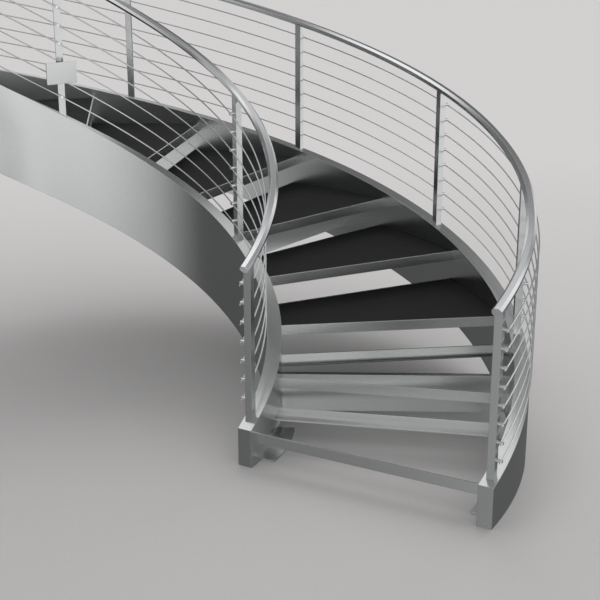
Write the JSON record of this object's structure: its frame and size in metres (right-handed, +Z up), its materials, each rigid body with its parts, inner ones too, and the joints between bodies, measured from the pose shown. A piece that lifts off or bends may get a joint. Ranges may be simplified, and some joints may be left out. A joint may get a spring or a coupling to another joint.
{
  "type": "curved staircase",
  "caption": "Curved steel staircase with open tray steps between two deep box stringers, square posts, round rods and a bent handrail on both sides.",
  "frame": {"origin": "on the floor under the middle of the outer stringer, at the front of the first step", "axes": "+X points away from the stair's axis, +Y is the way up at the first step, +Z up; the axis stands at X = -2.382 m, Y = 0"},
  "size_m": [4.8632, 2.5123, 2.9313],
  "materials": {
    "brushed_steel": "brushed stainless steel, satin",
    "polished_steel": "polished stainless steel",
    "panel": "dark matt board laid in the steel trays"
  },
  "bodies": {
    "root": {"inner_stringer": "brushed_steel", "outer_stringer": "brushed_steel", "step_1_frame": "brushed_steel", "step_2_frame": "brushed_steel", "step_3_frame": "brushed_steel", "step_4_frame": "brushed_steel", "step_5_frame": "brushed_steel", "step_6_frame": "brushed_steel", "step_7_frame": "brushed_steel", "step_8_frame": "brushed_steel", "step_9_frame": "brushed_steel", "step_10_frame": "brushed_steel", "step_3_panel": "panel", "step_4_panel": "panel", "step_5_panel": "panel", "step_6_panel": "panel", "step_7_panel": "panel", "step_8_panel": "panel", "step_9_panel": "panel", "step_10_panel": "panel", "cross_beams": "brushed_steel", "inner_foot_angle": "brushed_steel", "outer_foot_angle": "brushed_steel", "inner_posts": "brushed_steel", "outer_posts": "brushed_steel", "inner_handrail": "polished_steel", "outer_handrail": "polished_steel", "inner_rods_bay_1": "polished_steel", "inner_rods_bay_2": "polished_steel", "inner_rods_bay_3": "polished_steel", "outer_rods_bay_1": "polished_steel", "outer_rods_bay_2": "polished_steel", "outer_rods_bay_3": "polished_steel", "outer_rods_bay_4": "polished_steel", "outer_rods_bay_5": "polished_steel", "outer_rods_bay_6": "polished_steel", "inner_rod_holders": "polished_steel", "outer_rod_holders": "polished_steel", "slab_bracket": "brushed_steel"}
  },
  "joints": []
}
